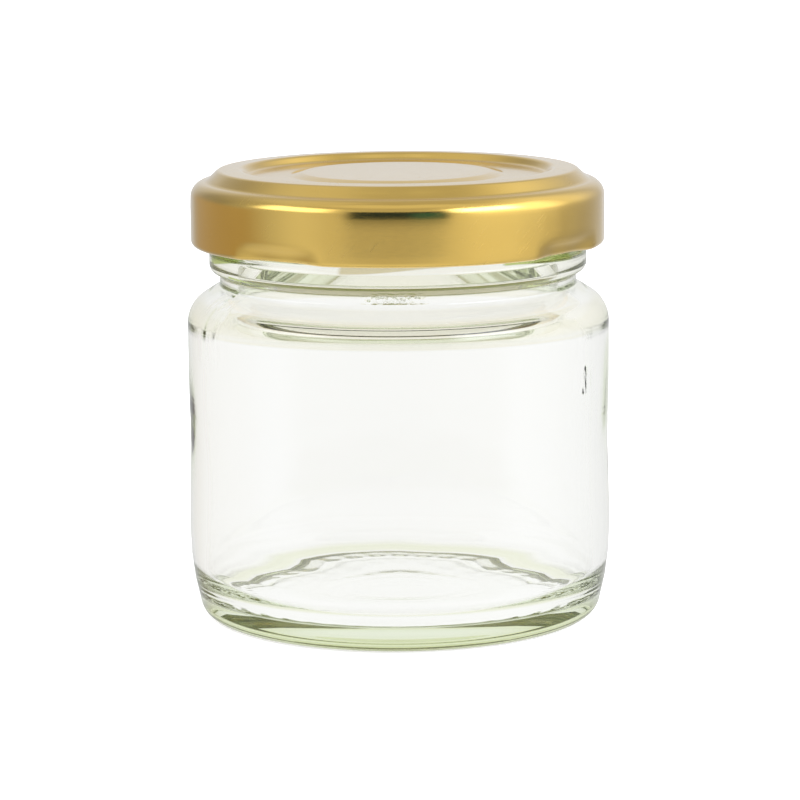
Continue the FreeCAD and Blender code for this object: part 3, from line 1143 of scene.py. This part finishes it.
# ------------------------------------------------------------------ lid
@dataclass
class TwistLid:
    """The lid: one plate with a button, a raised ring, a skirt, a rolled edge and lugs.

    Attributes:
        radius: radius of the skirt, read from the frame.
        top_z: height of the solid's top, read from the frame.
        bottom_z: height of the rolled edge's lowest place, read from the frame.
        plate: thickness of the plate.
        panel_drop: how far the panel lies below the solid's top.
        crest_drop: how far the raised ring's crest lies below it.
        button: radius of the button, its height, and the width and rounds of its slope.
        ring_foot: radius and round of the raised ring's foot.
        ring_inner: radius and round of the crest's inner edge.
        ring_rise: how much higher the crest's inner edge is than its outer one.
        ring_outer: radius and round of the crest's outer edge.
        cove: corner of the cove round the ring.
        shoulder: height and round of the shoulder's corner.
        bow: how far the skirt's top is bowed in, the height where that starts, and its round.
        curl: outer radius of the rolled edge's section.
        curl_turn: degrees through which the edge is rolled.
        curl_points: number of points on each side of it.
        split_z: height of the skirt where the lugs start.
        hinge_gap: how far above the rolled edge the skirt starts to lean.
        edge_band: width of what moves with the edge, in radii of its section.
        lugs: number of lugs.
        lug_azimuth: degrees from +X to one of them.
        lug_width: degrees that a lug spans.
        lug_press: how far it is pressed in.
        lug_lift: how far it is lifted.
        outer_steps: degrees and millimetres between points of the outer side.
        inner_steps: the same for the inner side.
        columns: number of steps round the axis.
    """

    radius: float
    top_z: float
    bottom_z: float
    plate: float = 0.25
    panel_drop: float = 1.3
    crest_drop: float = 0.43
    button: Triple = (13.6, 0.4, 1.7)
    ring_foot: Pair = (20.2, 0.8)
    ring_inner: Pair = (21.1, 1.0)
    ring_rise: float = 0.1
    ring_outer: Pair = (24.3, 0.9)
    cove: Corner = (25.9, 59.56, 1.2)
    shoulder: Pair = (59.24, 2.05)
    bow: Triple = (0.1, 56.6, 25.0)
    curl: float = 0.8
    curl_turn: float = 290.0
    curl_points: int = 28
    split_z: float = 53.4
    hinge_gap: float = 0.2
    edge_band: float = 2.5
    lugs: int = 4
    lug_azimuth: float = -35.3
    lug_width: float = 31.0
    lug_press: float = 1.0
    lug_lift: float = 0.12
    outer_steps: Pair = (8.0, 0.8)
    inner_steps: Pair = (8.0, 1.2)
    columns: int = 288
    piece: bpy.types.Object | None = field(default=None, init=False)

    def corners(self) -> tuple[Corner, ...]:
        """Outer side of the plate, from its centre down to where the rolled edge starts.

        Returns:
            (r, z, round) of each corner.
        """
        panel = self.top_z - self.panel_drop
        crest = self.top_z - self.crest_drop
        button, rise, slope = self.button
        bow, bow_z, bow_round = self.bow
        return (
            (0.0, panel + rise, 0.0),
            (button - slope / 2, panel + rise, slope),
            (button + slope / 2, panel, slope),
            (self.ring_foot[0], panel, self.ring_foot[1]),
            (self.ring_inner[0], crest + self.ring_rise, self.ring_inner[1]),
            (self.ring_outer[0], crest, self.ring_outer[1]),
            self.cove,
            (self.radius - bow, *self.shoulder),
            (self.radius, bow_z, bow_round),
            (self.radius, self.bottom_z + self.curl, 0.0),
        )

    def inner_points(self) -> np.ndarray:
        """Inner side of the plate as points, from its centre outwards."""
        return Outline(thickened(self.corners(), self.plate), *self.inner_steps).points()

    def profile(self) -> np.ndarray:
        """Closed half section: inner side, along the curl and back, outer side.

        The curl is two arcs about one centre, a plate's thickness apart.

        Returns:
            (n, 2) array of r and z in millimetres.
        """
        outer = Outline(self.corners(), *self.outer_steps).points()
        turn = -np.radians(np.linspace(0.0, self.curl_turn, self.curl_points))
        centre = np.array([self.radius - self.curl, self.bottom_z + self.curl])
        unit = np.stack([np.cos(turn), np.sin(turn)], axis=1)
        out = centre + self.curl * unit
        back = centre + (self.curl - self.plate) * unit[::-1]
        closed = np.concatenate([outer, out[1:], back, self.inner_points()[-2::-1]])
        return closed[::-1]

    def surface(self) -> tuple[np.ndarray, np.ndarray, np.ndarray]:
        """Radius and height over the profile and the azimuth, in millimetres.

        Over each lug the rolled edge moves in and up as one. The share of the move is
        s^2 (3 - 2s), where s is a half wave across the lug's width, and the skirt above
        it leans over to follow.

        Returns:
            (radius, height, azimuth), the first two of shape (n, m).
        """
        radius, height, azimuth = carried_round(self.profile(), self.columns)
        off = np.abs(off_centre(azimuth, self.lug_azimuth, self.lugs)) / self.lug_width
        rise = np.cos(math.pi * np.clip(off, 0.0, 0.5))
        share = rise * rise * (3.0 - 2.0 * rise)
        hinge = self.bottom_z + self.curl
        foot = 1.0 - smooth_step(height, hinge + self.hinge_gap, self.split_z)
        near_edge = radius > self.radius - self.edge_band * self.curl
        edge = np.where(near_edge, foot, 0.0) * (height < self.split_z)
        return radius - self.lug_press * share * edge, height + self.lug_lift * share * edge, azimuth

    def make(self, finish: bpy.types.Material, inner_finish: bpy.types.Material) -> bpy.types.Object:
        """Build and dress the lid, and let it stand for the solid.

        Args:
            finish: finish of the outer side.
            inner_finish: finish of the inner side.

        Returns:
            The piece.
        """
        self.piece = turned_mesh("gold_lid", *self.surface(), Ends.POLES)
        self.piece.data.materials.append(finish)
        self.piece.data.materials.append(inner_finish)
        self.paint_inside()
        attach(self.piece, ROOT)
        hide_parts("lid")
        return self.piece

    def paint_inside(self) -> None:
        """Give the second finish to the faces whose rows lie on the plate's inner side.

        The inner side's rows come first, and the faces round its centre are the first of
        the two fans at the end.
        """
        inner_rows = len(self.inner_points()) - 2
        faces = len(self.piece.data.polygons)
        chosen = np.zeros(faces, np.int32)
        chosen[:inner_rows * self.columns] = 1
        chosen[faces - 2 * self.columns:faces - self.columns] = 1
        self.piece.data.polygons.foreach_set("material_index", chosen)


@dataclass
class SealRing:
    """The ring of sealing compound between the lid's channel and the glass rim.

    Attributes:
        low_z: height of its lower side, read from the frame.
        inner: inner radius.
        outer: outer radius.
        inner_round: round of its upper inner corner.
        lip: width of the slope at its lower inner corner.
        crest: corner of its top.
        outer_top_z: height of its outer side.
        steps: degrees and millimetres between points of the section.
        columns: number of steps round the axis.
    """

    low_z: float
    inner: float = 21.3
    outer: float = 24.55
    inner_round: float = 0.3
    lip: float = 0.2
    crest: Corner = (23.9, 60.75, 2.0)
    outer_top_z: float = 60.3
    steps: Pair = (12.0, 1.2)
    columns: int = 180
    piece: bpy.types.Object | None = field(default=None, init=False)

    def corners(self) -> tuple[Corner, ...]:
        """Section of the ring.

        Returns:
            (r, z, round) of each corner.
        """
        return (
            (self.inner + self.lip, self.low_z, 0.0),
            (self.outer, self.low_z, 0.0),
            (self.outer, self.outer_top_z, 0.0),
            self.crest,
            (self.inner, self.crest[1], self.inner_round),
            (self.inner, self.low_z + self.lip, 0.0),
        )

    def make(self, finish: bpy.types.Material) -> bpy.types.Object:
        """Build and dress the ring, and let it stand for the solid.

        Args:
            finish: the compound.

        Returns:
            The piece.
        """
        profile = Outline(self.corners(), *self.steps).points()
        self.piece = turned_mesh("sealing_ring", *carried_round(profile, self.columns), Ends.LOOP)
        self.piece.data.materials.append(finish)
        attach(self.piece, ROOT)
        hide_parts("seal")
        return self.piece


# ------------------------------------------------------------------ studio
@dataclass(frozen=True)
class SoftPatch:
    """A soft-edged patch of the studio round the jar, as gloss sees it.

    Attributes:
        middle: degrees of azimuth from the front to its middle, positive to the right.
        half_width: degrees from its middle to its sides.
        low: degrees of elevation of its lower edge.
        high: degrees of elevation of its upper edge.
        fades: degrees over which its sides, lower edge and upper edge fade.
        light: its light, where 1 is white.
    """

    middle: float
    half_width: float
    low: float
    high: float
    fades: Triple
    light: Colour

    def share(self, nodes: Nodes, azimuth: Socket, elevation: Socket) -> Socket:
        """How much of the patch shows in a direction: 1 inside, fading to 0 at its edge.

        Args:
            nodes: the world's nodes.
            azimuth: degrees from the front.
            elevation: degrees above the horizon.

        Returns:
            The output that holds the share.
        """
        side, below, above = (fade / 2 for fade in self.fades)
        off = nodes.math("ABSOLUTE", nodes.math("SUBTRACT", azimuth, self.middle))
        across = nodes.ramp(off, self.half_width - side, self.half_width + side, 1.0, 0.0)
        up = nodes.ramp(elevation, self.low - below, self.low + below)
        down = nodes.ramp(elevation, self.high - above, self.high + above, 1.0, 0.0)
        return nodes.product(down, up, across)


@dataclass(frozen=True)
class SoftLamp:
    """A large square lamp that faces the jar's foot, lights matt surfaces and isn't reflected.

    Attributes:
        name: its name.
        azimuth: degrees from the front, positive to the right.
        elevation: degrees above the floor.
        size: side of the square in millimetres.
        power: its power in watts.
        reach: millimetres from the origin.
    """

    name: str
    azimuth: float
    elevation: float
    size: float
    power: float
    reach: float = 900.0

    def make(self) -> None:
        """Hang the lamp and turn it to the origin."""
        data = bpy.data.lights.new(self.name, "AREA")
        data.size = self.size * MM
        data.energy = self.power
        lamp = bpy.data.objects.new(self.name, data)
        bpy.context.scene.collection.objects.link(lamp)
        turn, rise = math.radians(self.azimuth), math.radians(self.elevation)
        out, up = math.cos(rise), math.sin(rise)
        reach = self.reach * MM
        lamp.location = (reach * math.sin(turn) * out, -reach * math.cos(turn) * out, reach * up)
        lamp.rotation_euler = (math.pi / 2 - rise, 0.0, turn)
        lamp.visible_glossy = False
        lamp.visible_transmission = False


@dataclass(frozen=True)
class Studio:
    """White sweep, soft surround, lamps and camera.

    The surround is seen in three ways: white by the camera, with its patches by gloss,
    and as a plainer one by light that has come through the glass.

    Attributes:
        gloss_horizon: (azimuth, light) stops round the jar, as gloss sees them.
        ceiling: light overhead.
        ceiling_span: degrees of elevation over which the horizon turns into it.
        ground: light below.
        ground_share: how much of the ground's light shows where it is strongest.
        ground_span: degrees of elevation over which it gives way to the horizon.
        patches: patches laid over all that, one over the other.
        clear_horizon: (azimuth, share) stops of how clear the surround is behind glass.
        clear_dark: its colour where it is darkest.
        clear_low_span: degrees of elevation over which the dark sets in.
        clear_high_span: degrees of elevation over which it weakens again.
        clear_high: share of it that stays above.
        floor_radius: radius of the floor in millimetres.
        floor_rings: number of radii in its mesh.
        floor_columns: number of steps round it.
        floor_light: lightness of its colour.
        floor_lift: light that the camera sees on top of that.
        lamps: the lamps.
        focal: focal length of the camera in millimetres.
        distance: millimetres from the camera to its target.
        target: what it looks at, in millimetres.
        elevation: degrees that it looks down.
        roll: degrees that it is rolled.
        clip_start: millimetres in front of it that it doesn't see.
        bounces: how often light goes on, so that thick glass doesn't turn black.
    """

    gloss_horizon: tuple[Pair, ...] = (
        (-180.0, 0.75), (-157.0, 0.57), (-150.0, 0.45), (-140.0, 0.34), (-118.0, 0.34), (-104.0, 0.43),
        (-81.0, 0.58), (-53.0, 0.78), (-37.0, 0.72), (-20.0, 0.64), (5.0, 0.64), (15.0, 0.68), (30.0, 0.82),
        (46.0, 0.92), (63.0, 0.92), (82.0, 0.79), (93.0, 0.66), (106.0, 0.49), (125.0, 0.43), (134.0, 0.45),
        (146.0, 0.53), (165.0, 0.71), (180.0, 0.75),
    )
    ceiling: float = 0.56
    ceiling_span: Pair = (18.0, 58.0)
    ground: float = 0.85
    ground_share: float = 0.8
    ground_span: Pair = (-55.0, -20.0)
    patches: tuple[SoftPatch, ...] = (
        SoftPatch(90.0, 50.0, 4.0, 60.0, (40.0, 30.0, 26.0), (1.0, 0.99, 0.95)),
        SoftPatch(0.0, 84.0, 58.0, 84.0, (40.0, 12.0, 8.0), (0.80, 0.80, 0.80)),
        SoftPatch(-112.0, 46.0, 50.0, 76.0, (36.0, 20.0, 16.0), (0.72, 0.72, 0.72)),
        SoftPatch(-118.0, 34.0, -25.0, 8.0, (24.0, 20.0, 20.0), (0.475, 0.395, 0.29)),
        SoftPatch(72.0, 30.0, 3.0, 43.0, (20.0, 18.0, 10.0), (1.7, 1.7, 1.65)),
        SoftPatch(54.0, 19.0, 18.0, 42.0, (18.0, 14.0, 8.0), (4.6, 4.9, 5.8)),
        SoftPatch(-64.0, 22.0, 18.0, 43.0, (20.0, 10.0, 10.0), (2.4, 2.4, 2.4)),
        SoftPatch(0.0, 28.0, -3.8, 30.0, (9.0, 5.2, 3.0), (0.030, 0.050, 0.085)),
        SoftPatch(17.0, 9.0, -2.0, 22.0, (8.0, 6.0, 8.0), (0.04, 0.14, 0.20)),
    )
    clear_horizon: tuple[Pair, ...] = (
        (-180.0, 1.0), (-80.0, 1.0), (-55.0, 0.0), (55.0, 0.0), (80.0, 1.0), (180.0, 1.0),
    )
    clear_dark: Colour = (0.56, 0.54, 0.40)
    clear_low_span: Pair = (-58.0, -40.0)
    clear_high_span: Pair = (-22.0, -8.0)
    clear_high: float = 0.55
    floor_radius: float = 3000.0
    floor_rings: int = 24
    floor_columns: int = 96
    floor_light: float = 0.9
    floor_lift: float = 0.6
    lamps: tuple[SoftLamp, ...] = (
        SoftLamp("lamp_right", 64.0, 45.0, 500.0, 4.0),
        SoftLamp("lamp_left", -55.0, 50.0, 400.0, 2.5),
    )
    focal: float = 153.0
    distance: float = 465.5
    target: Triple = (0.14, 0.0, 29.1)
    elevation: float = 9.67
    roll: float = -0.45
    clip_start: float = 10.0
    bounces: int = 40

    def horizon(self, nodes: Nodes, azimuth: Socket, stops: tuple[Pair, ...]) -> Socket:
        """The light round the horizon, blended between its stops.

        Args:
            nodes: the world's nodes.
            azimuth: degrees from the front.
            stops: (azimuth, light) pairs from -180 to 180 degrees.

        Returns:
            The output that holds the light.
        """
        turn = nodes.math("DIVIDE", nodes.math("ADD", azimuth, 180.0), 360.0)
        node = nodes.add("ShaderNodeValToRGB")
        node.color_ramp.interpolation = "EASE"
        marks = node.color_ramp.elements
        for angle, light in stops[1:-1]:
            marks.new((angle + 180.0) / 360.0).color = grey(light)
        marks[0].color = grey(stops[0][1])
        marks[len(marks) - 1].color = grey(stops[-1][1])
        nodes.link(turn, node.inputs["Fac"])
        return node.outputs["Color"]

    def seen_in_gloss(self, nodes: Nodes, azimuth: Socket, elevation: Socket) -> Socket:
        """The horizon between ground and ceiling, with each patch laid over it by its share.

        Args:
            nodes: the world's nodes.
            azimuth: degrees from the front.
            elevation: degrees above the horizon.

        Returns:
            The output that holds the light.
        """
        colour = self.horizon(nodes, azimuth, self.gloss_horizon)
        down = nodes.ramp(elevation, *self.ground_span, self.ground_share, 0.0)
        colour = nodes.mix(down, colour, grey(self.ground))
        colour = nodes.mix(nodes.ramp(elevation, *self.ceiling_span), colour, grey(self.ceiling))
        for patch in self.patches:
            colour = nodes.mix(patch.share(nodes, azimuth, elevation), colour, rgba(patch.light))
        return colour

    def seen_through_glass(self, nodes: Nodes, azimuth: Socket, elevation: Socket) -> Socket:
        """White behind the jar and below it, and darker towards the front.

        Args:
            nodes: the world's nodes.
            azimuth: degrees from the front.
            elevation: degrees above the horizon.

        Returns:
            The output that holds the light.
        """
        sets_in = nodes.ramp(elevation, *self.clear_low_span)
        weakens = nodes.ramp(elevation, *self.clear_high_span, 1.0, self.clear_high)
        dark = nodes.mix(nodes.product(weakens, sets_in), rgba(WHITE), rgba(self.clear_dark))
        return nodes.mix(self.horizon(nodes, azimuth, self.clear_horizon), dark, rgba(WHITE))

    def make_world(self) -> None:
        """White for the camera, and the surround for gloss and glass.

        A direction (x, y, z) has the azimuth atan2(x, -y) and the elevation asin z.
        """
        world = bpy.data.worlds.new("studio")
        bpy.context.scene.world = world
        nodes = Nodes(world)
        x, y, z = nodes.split(nodes.add("ShaderNodeTexCoord").outputs["Generated"])
        azimuth = nodes.azimuth(x, y)
        elevation = nodes.math("DEGREES", nodes.math("ARCSINE", z))
        rays = nodes.add("ShaderNodeLightPath")
        gloss = self.seen_in_gloss(nodes, azimuth, elevation)
        clear = self.seen_through_glass(nodes, azimuth, elevation)
        seen = nodes.mix(rays.outputs["Is Transmission Ray"], gloss, clear)
        seen = nodes.mix(rays.outputs["Is Camera Ray"], seen, rgba(WHITE))
        light = nodes.add("ShaderNodeBackground")
        nodes.link(seen, light.inputs["Color"])
        output = nodes.add("ShaderNodeOutputWorld")
        nodes.link(light.outputs[0], output.inputs["Surface"])

    def make_floor(self) -> None:
        """A wide pale disc under the jar, as white as the surround where no shadow falls.

        The disc is rings of radius R k^2 about the axis, finest under the jar.
        """
        rings = (np.linspace(0.0, 1.0, self.floor_rings) ** 2 * self.floor_radius)[:0:-1]
        level = np.stack([rings, np.zeros_like(rings)], axis=1)
        radius, height, azimuth = carried_round(level, self.floor_columns)
        grid = np.stack([radius * np.cos(azimuth), radius * np.sin(azimuth), height], axis=-1)
        points = np.concatenate([grid.reshape(-1, 3), np.zeros((1, 3))]) * MM
        number = np.arange(radius.size).reshape(radius.shape)
        middle = np.full(self.floor_columns, radius.size)
        fans = np.stack([number[-1], np.roll(number[-1], -1), middle], axis=1)
        floor = mesh_object("floor", points, quads_between(number[:-1], number[1:]), fans)
        floor.data.materials.append(self.floor_finish())
        floor.visible_glossy = False
        floor.visible_transmission = False

    def floor_finish(self) -> bpy.types.Material:
        """Matt white that gives the camera's rays a lift, so that it meets the background.

        Returns:
            The new material.
        """
        material = bpy.data.materials.new("white_sweep")
        nodes = Nodes(material)
        matt = nodes.add("ShaderNodeBsdfDiffuse")
        nodes.feed(matt, {"Color": grey(self.floor_light)})
        glow = nodes.add("ShaderNodeEmission")
        rays = nodes.add("ShaderNodeLightPath")
        nodes.feed(glow, {"Strength": nodes.math("MULTIPLY", rays.outputs["Is Camera Ray"], self.floor_lift)})
        total = nodes.add("ShaderNodeAddShader")
        nodes.link(matt.outputs[0], total.inputs[0])
        nodes.link(glow.outputs[0], total.inputs[1])
        output = nodes.add("ShaderNodeOutputMaterial")
        nodes.link(total.outputs[0], output.inputs["Surface"])
        return material

    def make_camera(self) -> None:
        """A long lens in front of the jar, looking down a little, with a slight roll."""
        data = bpy.data.cameras.new("camera")
        data.lens = self.focal
        data.clip_start = self.clip_start * MM
        camera = bpy.data.objects.new("camera", data)
        bpy.context.scene.collection.objects.link(camera)
        rise = math.radians(self.elevation)
        x, y, z = self.target
        back, up = self.distance * math.cos(rise), self.distance * math.sin(rise)
        camera.location = (x * MM, (y - back) * MM, (z + up) * MM)
        camera.rotation_euler = (math.pi / 2 - rise, 0.0, 0.0)
        camera.rotation_euler.rotate_axis("Z", math.radians(self.roll))
        bpy.context.scene.camera = camera

    def make(self) -> None:
        """Build the whole studio."""
        self.make_world()
        self.make_floor()
        for lamp in self.lamps:
            lamp.make()
        self.make_camera()
        bpy.context.scene.view_settings.view_transform = "Standard"
        light_paths = bpy.context.scene.cycles
        light_paths.max_bounces = self.bounces
        light_paths.glossy_bounces = self.bounces
        light_paths.transmission_bounces = self.bounces


# ------------------------------------------------------------------ the jar
def corners_of(node: str) -> tuple[np.ndarray, np.ndarray]:
    """Lowest and highest corner of a frame node, in millimetres."""
    low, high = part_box(node)
    return np.array(low) / MM, np.array(high) / MM


def main() -> None:
    """Build every piece in order."""
    logging.basicConfig(level=logging.INFO, format="%(name)s: %(message)s")
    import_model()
    _, jar_high = corners_of("jar")
    lid_low, lid_high = corners_of("lid")
    seal_low, _ = corners_of("seal")

    jar = GlassJar(body_radius=float(jar_high[0]), rim_z=float(jar_high[2]))
    lid = TwistLid(radius=float(lid_high[0]), top_z=float(lid_high[2]), bottom_z=float(lid_low[2]))
    seal = SealRing(low_z=float(seal_low[2]))
    pieces = [
        jar.make(ClearGlass().build()),
        lid.make(GoldLacquer().build(), InnerLacquer().build()),
        seal.make(SealingCompound().build()),
    ]
    for piece in pieces:
        log.info("%s: %d faces", piece.name, len(piece.data.polygons))
    Studio().make()
    log.info("sizes written")


if __name__ == "__main__":
    main()
